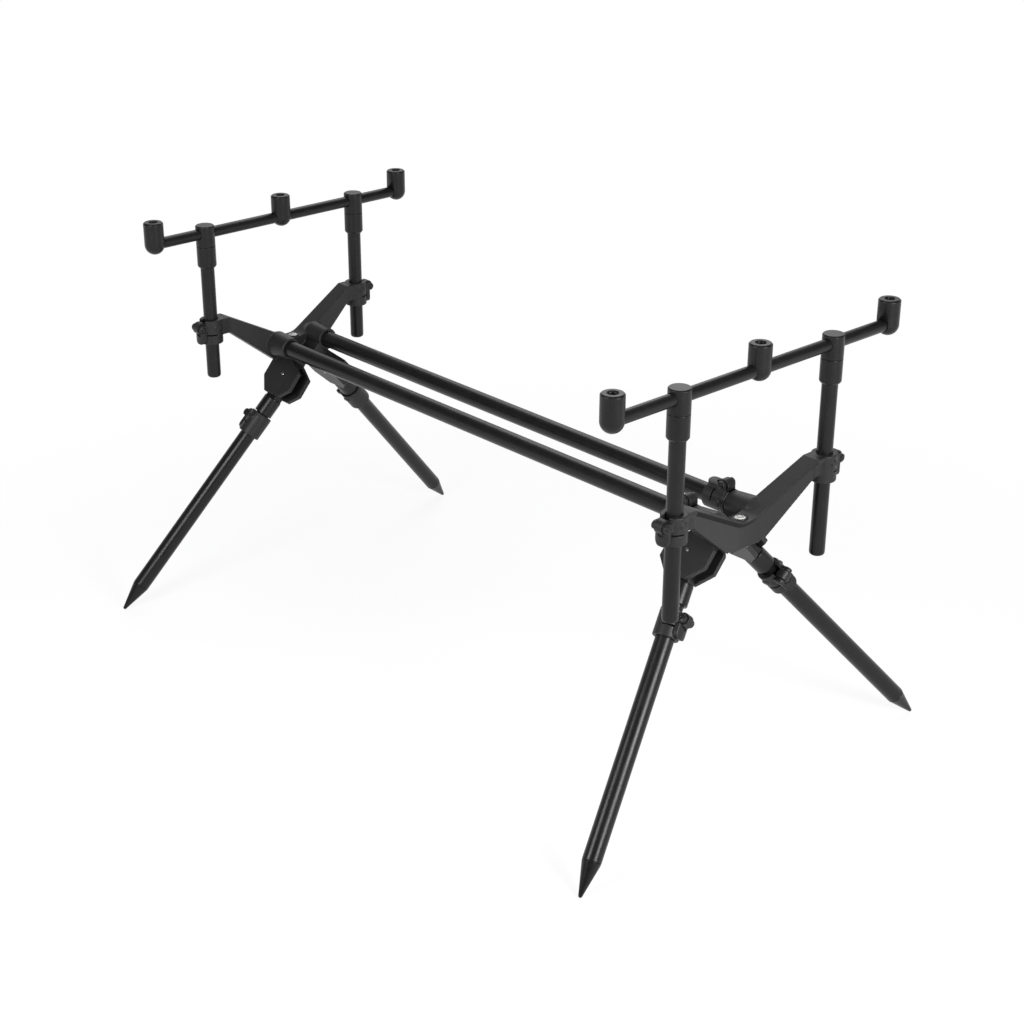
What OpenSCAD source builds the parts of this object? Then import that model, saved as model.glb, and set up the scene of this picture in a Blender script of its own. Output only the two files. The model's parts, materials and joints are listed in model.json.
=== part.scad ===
// Twin-bar rod pod: two yokes on telescopic main bars, four folding telescopic legs
// and two height-adjustable rest bars, all locked by cam levers.
// Millimetres, +Z up, origin on the ground at the middle of the footprint.
// +X runs along the main bars towards the near yoke, +Y to the right.

/* [Frame] */
// Distance between the far and the near row of posts with the bars closed
post_row_gap = 740; // [720:1:900]
// Distance between the two posts of one yoke
post_gap = 215.4; // [206:0.2:250]
// Distance between the two main bars
bar_gap = 54.8; // [52:0.2:60]
// Height of the main bars above the leg hinges
bar_above_hinge = 36; // [35:0.5:42]
// Outside diameter of the outer tubes of bars and legs
outer_tube_d = 19; // [18.4:0.1:20]
// Outside diameter of the inner tubes and of the posts
inner_tube_d = 16; // [15:0.1:16.2]
// Length of the inner tubes of the main bars
bar_inner_len = 460; // [350:5:600]

/* [Yoke] */
// Height of the post clamps' top above the main bars
clamp_above_bar = 45.2; // [42:0.2:60]
// Radius of the rounded valley between the two arms
valley_r = 32; // [20:1:45]
// Height of the valley's lowest point above the main bars' axis
valley_rise = 2.8; // [0:0.1:4]
// Upright thickness of an arm at its clamp
arm_end_h = 19; // [18:0.5:24]
// Depth of the shield's flat bottom edge below the main bars' axis
shield_drop = 25.8; // [22:0.1:28]
// Width of the shield's flat bottom edge
shield_bottom_w = 48; // [36:1:56]
// Thickness of the arms along the main bars
arm_t = 20; // [18:0.5:21]
// How far an arm sweeps outwards from the middle to its clamp
arm_sweep = 10.5; // [6:0.5:12]
// Width of the overhanging rim along the shield's top edge
rim_w = 4.4; // [3:0.1:5]
// Overhang of that rim over the shield's sunk face
rim_h = 3.4; // [2:0.1:4]
// Radius of a main bar socket at its mouth
boss_r = 12.8; // [12.5:0.1:13.5]
// Radius of a main bar socket where it meets the arms
boss_root_r = 15.2; // [14:0.1:16.5]
// Distance from the post row in to the mouths of the bar sockets
boss_mouth_in = 46; // [44:0.5:50]
// Diameter of the round spirit level
level_d = 12; // [9:0.5:13]

/* [Leg hinge] */
// Distance between the left and the right leg hinge
hinge_gap = 62.8; // [60:0.2:70]
// Distance from the post row in to the leg hinges
hinge_in = 42.6; // [41:0.2:46]
// Sideways splay of the legs' swing planes from upright
splay = 41; // [36:0.5:44]
// Outward lean of the far legs
lean_far = 8.4; // [6:0.1:12]
// Outward lean of the near legs
lean_near = 12.7; // [12:0.1:16]
// Thickness of a hinge bracket over both cheeks
bracket_t = 23; // [21:0.5:24]
// Corner radius of the cheeks about the hinge pin
cheek_r = 30.5; // [29.5:0.1:31.5]
// Thickness of the leg's tongue between the cheeks
tongue_t = 12; // [10:0.2:13]
// Width of the leg's tongue
tongue_w = 18; // [16:0.5:18.4]
// Diameter of the hinge pin
hinge_pin_d = 4; // [3:0.1:6]

/* [Legs] */
// Diameter of the leg's neck below the hinge
neck_d = 22; // [21:0.1:24]
// Length of the leg's neck
neck_len = 22; // [20:0.5:40]
// Visible length of the lower leg tube between its clamp and the spike
leg_tube_len = 222.5; // [180:0.5:320]
// Length of the conical spike
spike_len = 35; // [25:1:50]
// Radius of the spike's blunt nose
nose_r = 2; // [1:0.1:4]
// Gap between the inner leg tube's lower end and the spike's spigot
leg_inner_gap = 10.5; // [6:0.5:30]

/* [Cam clamps] */
// Length of a clamp collar
clamp_len = 29; // [27:0.5:34]
// Wall of a clamp collar round the inner tube
clamp_wall = 4.95; // [4.6:0.05:5.6]
// Depth of the cross slit below the collar's open end
slit_depth = 16.5; // [16:0.1:18]
// Height of the cross slit
slit_h = 1.6; // [1.2:0.1:2]
// Distance of the lever pin outside the collar
pin_out = 3.75; // [3.6:0.05:4.5]
// Depth of the lever pin below the collar's open end
pin_depth = 8.5; // [8:0.1:9]
// Diameter of the lever pin
lever_pin_d = 4; // [3:0.1:4.4]
// Radius of the ears round the lever pin
ear_r = 4.4; // [4:0.1:4.8]
// Thickness of each ear
ear_t = 4.2; // [3:0.1:5]
// Width of the slot between the ears
ear_slot = 9.6; // [8:0.1:11]
// Width of the lever's paddle
paddle_w = 16; // [14:0.5:18]
// Thickness of the lever's paddle
paddle_t = 4.2; // [3.6:0.1:4.6]
// Reach of the paddle below the lever pin
paddle_len = 19.5; // [18:0.5:20]
// Air between the collar and the closed paddle
paddle_air = 0.6; // [0.5:0.1:0.9]
// Offset of the cam's centre from the lever pin
cam_offset = 1.4; // [0.8:0.1:1.6]

/* [Rest bars] */
// Distance between the outer rest sockets of the far bar
far_rest_span = 351.4; // [320:0.2:420]
// Distance between the outer rest sockets of the near bar
near_rest_span = 385.2; // [330:0.2:440]
// Height of the far rest sockets' top above the main bars
far_rest_h = 173.8; // [140:0.2:210]
// Height of the near rest sockets' top above the main bars
near_rest_h = 184; // [150:0.2:240]
// Length of the far posts
far_post_len = 165; // [150:1:220]
// Length of the near posts
near_post_len = 214; // [180:1:260]
// Diameter of the cross bars
cross_bar_d = 12.7; // [11:0.1:13]
// Diameter of the rest sockets
socket_d = 22.5; // [21:0.1:25]
// Depth of a cross bar's axis below the socket tops
socket_drop = 26; // [25:0.5:32]
// Diameter of the hole for the rest's thread
thread_d = 9.5; // [9.4:0.01:9.6]
// Depth of the hole for the rest's thread
thread_depth = 18; // [14:0.5:18]
// Diameter of the post heads and their sleeves
tee_d = 22; // [20:0.1:24]
// Height of a post head
tee_len = 24.5; // [23.5:0.1:28]
// Height of a post head above the cross bar's axis
tee_rise = 9.8; // [9:0.1:11]
// Height of the sleeve below a post head
sleeve_len = 25; // [20:0.5:30]

/* [Clearances] */
// Radial gap of tubes that slide in each other
slide_gap = 0.3; // [0.25:0.05:0.4]
// Radial gap of pieces that are seated for good
seat_gap = 0.05; // [0.02:0.01:0.08]
// Radial gap of a pin in the piece that turns on it
pin_gap = 0.05; // [0.02:0.01:0.1]
// Side gap between turning pieces and their cheeks
side_gap = 0.3; // [0.25:0.05:0.4]
// End gap between a clamp and the shoulder that it closes on
end_gap = 1; // [0.5:0.1:2]

/* [Hidden] */
$fn = 64;

// Ends and sides of the pod
far = -1;
near = 1;
left = -1;
right = 1;

// Colours of the materials
anodised = [0.10, 0.10, 0.105];
moulded = [0.13, 0.13, 0.13];
lever_black = [0.08, 0.08, 0.08];
steel = [0.72, 0.72, 0.73];
vial = [0.80, 0.84, 0.80];

// Tubes
inner_r = inner_tube_d / 2;
outer_r = outer_tube_d / 2;
sleeve_bore_r = inner_r + slide_gap;
inner_wall = 1.2;
cross_wall = 1.5;
edge = 0.8;

// Clamps, measured from the tube's axis and from the collar's open end
collar_r = sleeve_bore_r + clamp_wall;
pin_x = collar_r + pin_out;
seat_web = 0.6;
seat_depth = slit_depth + slit_h + seat_web;
ear_bite = 3;
groove_z = 2.2;
groove_h = 0.9;
groove_d = 0.6;
lug_half = 4.2;
lug_r = 2.8;
lug_rise = 0.8;
paddle_gap = 0.4;
paddle_top = ear_r + paddle_gap;
paddle_r = collar_r + paddle_air + paddle_t;
spine_air = 1;
spine_t = 2;
spine_len = 0.75 * paddle_len;
cam_air = 0.5;
cam_r = pin_x - cam_offset - inner_r - cam_air;
lever_w = ear_slot - 2 * side_gap;
pin_head_d = 1.7 * lever_pin_d;
pin_head_h = 0.8;
pin_half = ear_slot / 2 + ear_t;

// Legs, measured along the leg from the hinge pin
neck_air = 0.5;
neck_start = cheek_r + neck_air;
neck_end = neck_start + neck_len;
leg_clamp_top = neck_end + end_gap;
leg_clamp_bottom = leg_clamp_top + clamp_len;
spike_start = leg_clamp_bottom + leg_tube_len;
leg_len = spike_start + spike_len;
leg_reach = leg_len - nose_r;
hinge_z = nose_r + leg_reach * cos(lean_far) * cos(splay);
set_out_near = (hinge_z - nose_r) / (cos(lean_near) * cos(splay)) - leg_reach;
spigot_len = 10;
inner_seat = 15;
leg_inner_len = spike_start - spigot_len - leg_inner_gap - neck_end;

// Heights of the frame
bar_z = hinge_z + bar_above_hinge;
clamp_top = bar_z + clamp_above_bar;
valley_z = bar_z + valley_rise;

// Row positions along X, with the footprint's middle at the origin
near_reach = max(post_row_gap / 2 + collar_r,
    post_row_gap / 2 - hinge_in + (leg_reach + set_out_near) * sin(lean_near) + nose_r);
far_reach = max(post_row_gap / 2 + collar_r,
    post_row_gap / 2 - hinge_in + leg_reach * sin(lean_far) + nose_r);
mid_x = (far_reach - near_reach) / 2;
far_x = mid_x - post_row_gap / 2;
near_x = mid_x + post_row_gap / 2;

// Yoke, with +X pointing outwards from the pod and X = 0 at the post row
boss_seat_in = 17;
boss_floor = 4;
boss_bite = 3;
arm_back = -boss_seat_in - boss_floor;
arm_flat = 6.5;
arm_bite = 5.5;
arm_step = 0.4;
arm_y = post_gap / 2 - collar_r - arm_flat;
arm_stop = post_gap / 2 - collar_r + arm_bite;
arm_top = clamp_top - arm_step;
slope = bend_to(valley_r, arm_top - valley_z);
plan_r = 120;
plan_bend = bend_to(plan_r, arm_sweep);
rim_drop = rim_w / cos(slope);
rim_end = 2;
end_step = 0.8;
boss_end_r = 0.75 * boss_root_r;
boss_end_in = 0.7 * arm_t;
bracket_top = 21;
bracket_web = 17;
slot_w = tongue_t + 2 * side_gap;
slot_air = 0.6;
pin_sink = 0.2;
slot_round_z = tongue_w / 2 + slot_air;
level_x = arm_back + 0.42 * arm_t;
level_wall = 1.5;
level_rise = 1.6;
level_depth = 6;
level_sink = 0.2;
level_dome = 1.2;

// Rest bars
tee_top = socket_drop - tee_rise;
post_seat = 5;
bar_past_socket = 3;

// Points along an arc, in degrees
function arc(c, r, from, to, steps) =
    [for (i = [0 : steps]) let (a = from + (to - from) * i / steps) c + r * [cos(a), sin(a)]];

function mirrored(points) = [for (i = [len(points) - 1 : -1 : 0]) [-points[i][0], points[i][1]]];

// Angle at which a line leaves an arc about the yoke's middle to reach a rise at the arm's end
function bend_to(r, rise) = atan2(rise - r, arm_y) + asin(r / norm([arm_y, rise - r]));

function lean_of(end) = end == far ? lean_far : lean_near;

function set_out(end) = end == far ? 0 : set_out_near;

// Frames of reference
module at_end(end) {
    translate([end == far ? far_x : near_x, 0, 0])
        mirror([end == far ? 1 : 0, 0, 0])
            children();
}

module at_side(side) {
    mirror([0, side == left ? 1 : 0, 0])
        children();
}

module both_sides() {
    for (side = [left, right])
        at_side(side)
            children();
}

// Swing plane of a right-hand leg: X outwards, Y across the cheeks, Z up the plane
module in_swing_plane() {
    translate([-hinge_in, hinge_gap / 2, hinge_z])
        rotate([splay, 0, 0])
            children();
}

// Leg's own frame: the hinge pin at the origin, the leg along -Z, levers on +X
module along_leg(end, side) {
    at_end(end)
        at_side(side)
            in_swing_plane()
                rotate([0, -lean_of(end), 0])
                    children();
}

// Lower leg's frame, with the clamp's open end at the origin
module at_leg_clamp(end, side) {
    along_leg(end, side)
        translate([0, 0, -leg_clamp_top - set_out(end)])
            children();
}

module at_post_clamp(side) {
    at_side(side)
        translate([0, post_gap / 2, clamp_top])
            rotate([0, 0, 90])
                children();
}

module at_bar_clamp(side) {
    translate([near_x - boss_mouth_in - end_gap / 2, side * bar_gap / 2, bar_z])
        rotate([0, 90, 0])
            rotate([0, 0, 180])
                children();
}

// A pin or hole across a clamp's ears, along its own Y
module across(x, z, r, half) {
    translate([x, 0, z])
        rotate([90, 0, 0])
            cylinder(r = r, h = 2 * half, center = true);
}

// Tube along Z from a height down by a length
module tube(top, len, r, bore_r) {
    translate([0, 0, top - len])
        difference() {
            cylinder(r = r, h = len);
            translate([0, 0, -1])
                cylinder(r = bore_r, h = len + 2);
        }
}

// Cam clamp
module collar_blank() {
    rotate_extrude()
        polygon([
            [1, 0], [collar_r - edge, 0], [collar_r, -edge],
            [collar_r, -groove_z], [collar_r - groove_d, -groove_z - groove_h / 2], [collar_r, -groove_z - groove_h],
            [collar_r, edge - clamp_len], [collar_r - edge, -clamp_len], [1, -clamp_len]
        ]);
    lug = arc([lug_half - lug_r, 0], lug_r, -90, 90, 8);
    translate([0, 0, -pin_depth])
        rotate([90, 0, 0])
            linear_extrude(2 * (collar_r + lug_rise), center = true)
                polygon(concat(lug, mirrored(lug)));
    for (y = [-pin_half, ear_slot / 2])
        translate([0, y + ear_t, 0])
            rotate([90, 0, 0])
                linear_extrude(ear_t)
                    polygon(concat(
                        [
                            [collar_r - ear_bite, -pin_depth + ear_r],
                            [collar_r - ear_bite, -pin_depth - ear_r]
                        ],
                        arc([pin_x, -pin_depth], ear_r, -90, 90, 16)
                    ));
}

module collar_cuts() {
    translate([0, 0, -clamp_len - 1])
        cylinder(r = sleeve_bore_r, h = clamp_len + 2);
    translate([0, -ear_slot / 2, -slit_depth - slit_h / 2])
        cube([pin_x + ear_r + 1, ear_slot, slit_depth + slit_h]);
    translate([0, -collar_r - 1, -slit_depth - slit_h])
        cube([collar_r + 1, 2 * collar_r + 2, slit_h]);
    across(pin_x, -pin_depth, lever_pin_d / 2 + seat_gap, pin_half + 1);
}

module seated_clamp() {
    difference() {
        collar_blank();
        collar_cuts();
        translate([0, 0, -clamp_len - 1])
            cylinder(r = outer_r + seat_gap, h = clamp_len + 1 - seat_depth);
    }
}

module lever_pin() {
    across(pin_x, -pin_depth, lever_pin_d / 2, pin_half);
    for (side = [-1, 1])
        translate([pin_x, side * (pin_half + pin_head_h / 2), -pin_depth])
            rotate([90, 0, 0])
                cylinder(d = pin_head_d, h = pin_head_h, center = true);
}

// Paddle bent round the collar, with an arch below the ears that shows the slit
module paddle() {
    half = paddle_w / 2;
    end_r = 0.36 * paddle_w;
    arch_r = ear_slot / 2 + paddle_gap;
    side = [
        for (p = arc([half - end_r, end_r - paddle_len], end_r, -90, 0, 8)) p,
        [half, -paddle_top],
        for (p = arc([0, -paddle_top], arch_r, 0, -75, 6)) p
    ];
    intersection() {
        tube(-pin_depth, paddle_len + 1, paddle_r, paddle_r - paddle_t);
        translate([0, 0, -pin_depth])
            rotate([90, 0, 90])
                linear_extrude(paddle_r + 1)
                    polygon(concat(side, mirrored(side)));
    }
}

// Bar from the cam down behind the arch into the paddle's back
module lever_spine() {
    translate([collar_r + spine_air, -lever_w / 2, -pin_depth - spine_len])
        cube([spine_t, lever_w, spine_len]);
}

module lever() {
    color(lever_black)
        difference() {
            union() {
                across(pin_x - cam_offset, -pin_depth, cam_r, lever_w / 2);
                lever_spine();
                paddle();
            }
            across(pin_x, -pin_depth, lever_pin_d / 2 + pin_gap, lever_w);
        }
}

// Yoke
function valley(drop) =
    arc([0, valley_z + valley_r - drop], valley_r, -90 - slope, slope - 90, 14);

function top_edge() = concat(
    [[-arm_stop, arm_top], [-arm_y, arm_top]], valley(0), [[arm_y, arm_top], [arm_stop, arm_top]]
);

function low_edge() =
    let (half = [
        [arm_stop, arm_top - arm_end_h], [arm_y, arm_top - arm_end_h],
        [shield_bottom_w / 2, bar_z - shield_drop]
    ])
    concat(half, mirrored(half));

module facing(points, from, to) {
    translate([from, 0, 0])
        rotate([90, 0, 90])
            linear_extrude(to - from)
                polygon(points);
}

// Arms in plan: a band that sweeps outwards towards the posts
module arm_plan(face) {
    back_bend = 0.28 * arm_y;
    outline = concat(
        arc([0, arm_back + face + plan_r], plan_r, plan_bend / 6 - 90, plan_bend - 90, 5),
        [
            [arm_y, arm_back + face + arm_sweep], [arm_stop, arm_back + face + arm_sweep],
            [arm_stop, arm_back + arm_sweep], [arm_y, arm_back + arm_sweep], [back_bend, arm_back]
        ]
    );
    translate([0, 0, hinge_z])
        linear_extrude(clamp_top - hinge_z)
            rotate([0, 0, -90])
                mirror([1, 0])
                    polygon(concat(outline, mirrored(outline)));
}

// Front skin that is cut away below the rim, from the valley out to the end points of one side
module skin(ends, face) {
    from = arm_back + 0.6 * arm_t;
    to = arm_back + arm_t + arm_sweep + 1;
    difference() {
        facing(concat(mirrored(ends), valley(rim_drop), ends), from, to);
        arm_plan(face);
    }
}

// Arms with a sunk shield under an overhanging rim
module arms() {
    reach = arm_t + arm_sweep - arm_back;
    low_z = bar_z - shield_drop - 1;
    rim_z = arm_top - rim_drop;
    end_y = arm_y - rim_end;
    past_y = arm_stop + 1;
    difference() {
        intersection() {
            facing(concat(top_edge(), low_edge()), -reach, reach);
            arm_plan(arm_t);
        }
        skin([[end_y, rim_z - rim_end * tan(slope)], [end_y, low_z]], arm_t - rim_h);
        skin([[arm_y, rim_z], [past_y, rim_z], [past_y, low_z]], arm_t - rim_h + end_step);
    }
}

// Distance along one axis to the cheek's corner circle, from the distance along the other
function on_cheek(other) = sqrt(cheek_r * cheek_r - other * other);

// Pentagonal cheeks of a leg hinge, cut from one block with a round-bottomed slot
module hinge_bracket() {
    low_out = [14, -on_cheek(14)];
    low_in = [-13, -on_cheek(13)];
    side_out = [on_cheek(9.5), -9.5];
    side_in = [-on_cheek(15.5), -15.5];
    shoulder_out = 11;
    shoulder_in = 8;
    shoulder_cut = 7;
    top_in = [-2, bracket_top];
    top_bevel = [-8, bracket_top - 3];
    web_sink = 2;
    outline = [
        low_out, side_out, [side_out[0], shoulder_out], [side_out[0] - shoulder_cut, bracket_top],
        top_in, top_bevel, [side_in[0], shoulder_in], side_in, low_in
    ];
    translate([0, bracket_t / 2, 0])
        rotate([90, 0, 0])
            linear_extrude(bracket_t)
                polygon(outline);
    translate([hinge_in - boss_mouth_in + 1, -bracket_t / 2, bracket_top - web_sink])
        cube([boss_mouth_in - boss_seat_in - 2, bracket_t, bracket_web]);
}

module hinge_cuts() {
    translate([-2 * cheek_r, -slot_w / 2, -2 * cheek_r])
        cube([4 * cheek_r, slot_w, 2 * cheek_r + slot_round_z]);
    translate([-2 * cheek_r, 0, slot_round_z])
        rotate([0, 90, 0])
            cylinder(d = slot_w, h = 4 * cheek_r);
    across(0, 0, hinge_pin_d / 2 + seat_gap, bracket_t);
}

module yoke(bar_d) {
    difference() {
        union() {
            arms();
            translate([level_x, 0, valley_z - rim_w])
                cylinder(d = level_d + 2 * level_wall, h = rim_w + level_rise);
            both_sides() {
                translate([arm_back, bar_gap / 2, bar_z])
                    rotate([0, 90, 0])
                        rotate_extrude()
                            polygon([
                                [0, -boss_mouth_in - arm_back], [boss_r, -boss_mouth_in - arm_back],
                                [boss_root_r, boss_bite], [boss_end_r, boss_end_in], [0, boss_end_in]
                            ]);
                in_swing_plane()
                    hinge_bracket();
            }
            for (side = [left, right])
                at_post_clamp(side)
                    collar_blank();
        }
        both_sides() {
            translate([-boss_mouth_in - 1, bar_gap / 2, bar_z])
                rotate([0, 90, 0])
                    cylinder(d = bar_d + 2 * seat_gap, h = boss_mouth_in + 1 - boss_seat_in);
            in_swing_plane()
                hinge_cuts();
        }
        for (side = [left, right])
            at_post_clamp(side)
                collar_cuts();
        translate([level_x, 0, valley_z + level_rise - level_depth])
            cylinder(d = level_d + 2 * seat_gap, h = level_depth + 1);
    }
}

module end_yoke(end) {
    color(moulded)
        at_end(end)
            yoke(end == far ? outer_tube_d : inner_tube_d);
}

// Round level with a domed lens
module level(end) {
    lens = level_d / 2 - edge;
    top = level_depth - level_sink;
    dome_r = (lens * lens + level_dome * level_dome) / (2 * level_dome);
    color(vial)
        at_end(end)
            translate([level_x, 0, valley_z + level_rise - level_depth])
                rotate_extrude()
                    polygon(concat(
                        [[0, 0], [level_d / 2, 0], [level_d / 2, top - edge]],
                        arc([0, top + level_dome - dome_r], dome_r, acos(lens / dome_r), 90, 5)
                    ));
}

module hinge_pins(end) {
    color(steel)
        at_end(end)
            both_sides()
                in_swing_plane()
                    across(0, 0, hinge_pin_d / 2, bracket_t / 2 - pin_sink);
}

// Main bars
module main_tube(side) {
    from = far_x + boss_seat_in;
    to = near_x - boss_mouth_in - end_gap / 2 - seat_depth;
    color(anodised)
        translate([to, side * bar_gap / 2, bar_z])
            rotate([0, 90, 0])
                tube(0, to - from, outer_r, sleeve_bore_r);
}

module inner_tube(side) {
    color(anodised)
        translate([near_x - boss_seat_in, side * bar_gap / 2, bar_z])
            rotate([0, 90, 0])
                tube(0, bar_inner_len, inner_r, inner_r - inner_wall);
}

module bar_clamp(side) {
    color(moulded)
        at_bar_clamp(side)
            seated_clamp();
}

module bar_lever(side) {
    at_bar_clamp(side)
        lever();
}

module post_lever(end, side) {
    at_end(end)
        at_post_clamp(side)
            lever();
}

module frame_lever_pins() {
    color(anodised)
        for (side = [left, right]) {
            at_end(far)
                at_post_clamp(side)
                    lever_pin();
            at_bar_clamp(side)
                lever_pin();
        }
}

module near_lever_pins() {
    color(anodised)
        for (side = [left, right])
            at_end(near)
                at_post_clamp(side)
                    lever_pin();
}

// Legs
module tongue() {
    half = tongue_w / 2;
    root = -neck_start - 3;
    translate([0, tongue_t / 2, 0])
        rotate([90, 0, 0])
            linear_extrude(tongue_t)
                polygon(concat(arc([0, 0], half, 0, 180, 20), [[-half, root], [half, root]]));
}

module neck() {
    bevel = 1.5;
    rotate_extrude()
        polygon([
            [inner_r + seat_gap, -neck_end], [neck_d / 2, -neck_end], [neck_d / 2, -neck_start - bevel],
            [neck_d / 2 - bevel, -neck_start], [0, -neck_start], [0, inner_seat - neck_end],
            [inner_r + seat_gap, inner_seat - neck_end]
        ]);
}

module leg_hinge(end, side) {
    color(anodised)
        along_leg(end, side)
            difference() {
                union() {
                    tongue();
                    neck();
                }
                across(0, 0, hinge_pin_d / 2 + pin_gap, tongue_t);
            }
}

module leg_inner(end, side) {
    color(anodised)
        along_leg(end, side)
            tube(inner_seat - neck_end, inner_seat + leg_inner_len, inner_r, inner_r - inner_wall);
}

module leg_clamp(end, side) {
    color(moulded)
        at_leg_clamp(end, side)
            seated_clamp();
}

module leg_pin(end, side) {
    color(anodised)
        at_leg_clamp(end, side)
            lever_pin();
}

module leg_lever(end, side) {
    at_leg_clamp(end, side)
        lever();
}

module leg_tube(end, side) {
    color(anodised)
        at_leg_clamp(end, side)
            tube(-seat_depth, clamp_len + leg_tube_len - seat_depth, outer_r, sleeve_bore_r);
}

module leg_spike(end, side) {
    start = -clamp_len - leg_tube_len;
    nose_z = start - spike_len + nose_r;
    flank = asin((outer_r - nose_r) / norm([spike_len - nose_r, outer_r - nose_r]));
    color(anodised)
        at_leg_clamp(end, side)
            rotate_extrude()
                polygon(concat(
                    [
                        [0, start + spigot_len], [sleeve_bore_r - seat_gap, start + spigot_len],
                        [sleeve_bore_r - seat_gap, start], [outer_r, start]
                    ],
                    arc([0, nose_z], nose_r, flank / 2, -90, 8)
                ));
}

// Rest bars, with the socket tops at Z = 0
module at_rest_bar(end) {
    at_end(end)
        translate([0, 0, bar_z + (end == far ? far_rest_h : near_rest_h)])
            children();
}

function rest_half(end) = (end == far ? far_rest_span : near_rest_span) / 2;

module cross_bar(end) {
    half = rest_half(end) + bar_past_socket;
    color(anodised)
        at_rest_bar(end)
            translate([0, 0, -socket_drop])
                rotate([90, 0, 0])
                    translate([0, 0, -half])
                        tube(2 * half, 2 * half, cross_bar_d / 2, cross_bar_d / 2 - cross_wall);
}

module rest_socket() {
    r = socket_d / 2;
    chamfer = 1.7;
    sink = 0.9;
    difference() {
        union() {
            translate([0, 0, -socket_drop])
                sphere(r = r);
            rotate_extrude()
                polygon([[0, -socket_drop], [r, -socket_drop], [r, -chamfer], [r - chamfer, 0], [0, 0]]);
        }
        rotate_extrude()
            polygon([
                [0, -thread_depth], [thread_d / 2, -thread_depth], [thread_d / 2, -sink],
                [thread_d / 2 + 2 * sink, sink], [0, sink]
            ]);
    }
}

module cross_bore(from, to) {
    translate([0, from, -socket_drop])
        rotate([-90, 0, 0])
            cylinder(d = cross_bar_d + 2 * seat_gap, h = to - from);
}

module rest_sockets(end) {
    color(anodised)
        at_rest_bar(end) {
            difference() {
                rest_socket();
                cross_bore(-socket_d, socket_d);
            }
            both_sides()
                translate([0, rest_half(end), 0])
                    difference() {
                        rest_socket();
                        cross_bore(-socket_d, bar_past_socket + seat_gap);
                    }
        }
}

// Round block with chamfered ends, from a height down by a length
module turned(top, len, d, top_edge, low_edge) {
    translate([0, 0, top])
        rotate_extrude()
            polygon([
                [0, 0], [d / 2 - top_edge, 0], [d / 2, -top_edge],
                [d / 2, low_edge - len], [d / 2 - low_edge, -len], [0, -len]
            ]);
}

module at_posts(end) {
    at_rest_bar(end)
        both_sides()
            translate([0, post_gap / 2, 0])
                children();
}

module tee_heads(end) {
    color(anodised)
        at_posts(end)
            difference() {
                turned(-tee_top, tee_len, tee_d, 1.2, 0.4);
                cross_bore(-tee_d, tee_d);
                translate([0, 0, -tee_top - tee_len - 1])
                    cylinder(r = inner_r + seat_gap, h = post_seat + 1);
            }
}

module sleeves(end) {
    color(anodised)
        at_posts(end)
            difference() {
                turned(-tee_top - tee_len, sleeve_len, tee_d, 0.4, 2.2);
                translate([0, 0, -tee_top - tee_len - sleeve_len - 1])
                    cylinder(r = inner_r + seat_gap, h = sleeve_len + 2);
            }
}

// Post tubes with closed, rounded lower ends
module posts(end) {
    len = end == far ? far_post_len : near_post_len;
    top = post_seat - tee_top - tee_len;
    round_r = 4.5;
    floor_t = 4;
    bore_r = inner_r - inner_wall;
    color(anodised)
        at_posts(end)
            translate([0, 0, top])
                rotate_extrude()
                    polygon(concat(
                        [[0, floor_t - len], [bore_r, floor_t - len], [bore_r, 0], [inner_r, 0]],
                        arc([inner_r - round_r, round_r - len], round_r, 0, -90, 8),
                        [[0, -len]]
                    ));
}

end_yoke(far);  // far_yoke
level(far);  // far_level
main_tube(left);  // main_tube_left
main_tube(right);  // main_tube_right
bar_clamp(left);  // bar_clamp_left
bar_clamp(right);  // bar_clamp_right
hinge_pins(far);  // far_hinge_pins
frame_lever_pins();
end_yoke(near);  // near_yoke
level(near);  // near_level
inner_tube(left);  // inner_tube_left
inner_tube(right);  // inner_tube_right
hinge_pins(near);  // near_hinge_pins
near_lever_pins();
leg_hinge(far, left);  // leg_hinge_far_left
leg_hinge(far, right);  // leg_hinge_far_right
leg_hinge(near, left);  // leg_hinge_near_left
leg_hinge(near, right);  // leg_hinge_near_right
leg_inner(far, left);  // leg_inner_far_left
leg_inner(far, right);  // leg_inner_far_right
leg_inner(near, left);  // leg_inner_near_left
leg_inner(near, right);  // leg_inner_near_right
leg_clamp(far, left);  // leg_clamp_far_left
leg_clamp(far, right);  // leg_clamp_far_right
leg_clamp(near, left);  // leg_clamp_near_left
leg_clamp(near, right);  // leg_clamp_near_right
leg_pin(far, left);  // leg_pin_far_left
leg_pin(far, right);  // leg_pin_far_right
leg_pin(near, left);  // leg_pin_near_left
leg_pin(near, right);  // leg_pin_near_right
leg_tube(far, left);  // leg_tube_far_left
leg_tube(far, right);  // leg_tube_far_right
leg_tube(near, left);  // leg_tube_near_left
leg_tube(near, right);  // leg_tube_near_right
leg_spike(far, left);  // leg_spike_far_left
leg_spike(far, right);  // leg_spike_far_right
leg_spike(near, left);  // leg_spike_near_left
leg_spike(near, right);  // leg_spike_near_right
leg_lever(far, left);  // leg_lever_far_left
leg_lever(far, right);  // leg_lever_far_right
leg_lever(near, left);  // leg_lever_near_left
leg_lever(near, right);  // leg_lever_near_right
post_lever(far, left);  // post_lever_far_left
post_lever(far, right);  // post_lever_far_right
post_lever(near, left);  // post_lever_near_left
post_lever(near, right);  // post_lever_near_right
bar_lever(left);  // bar_lever_left
bar_lever(right);  // bar_lever_right
cross_bar(far);  // far_cross_bar
rest_sockets(far);  // far_rest_sockets
tee_heads(far);  // far_tee_heads
sleeves(far);  // far_sleeves
posts(far);  // far_posts
cross_bar(near);  // near_cross_bar
rest_sockets(near);  // near_rest_sockets
tee_heads(near);  // near_tee_heads
sleeves(near);  // near_sleeves
posts(near);  // near_posts
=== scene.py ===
import json
import math

import bmesh
import bpy
from mathutils import Matrix, Vector


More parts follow.
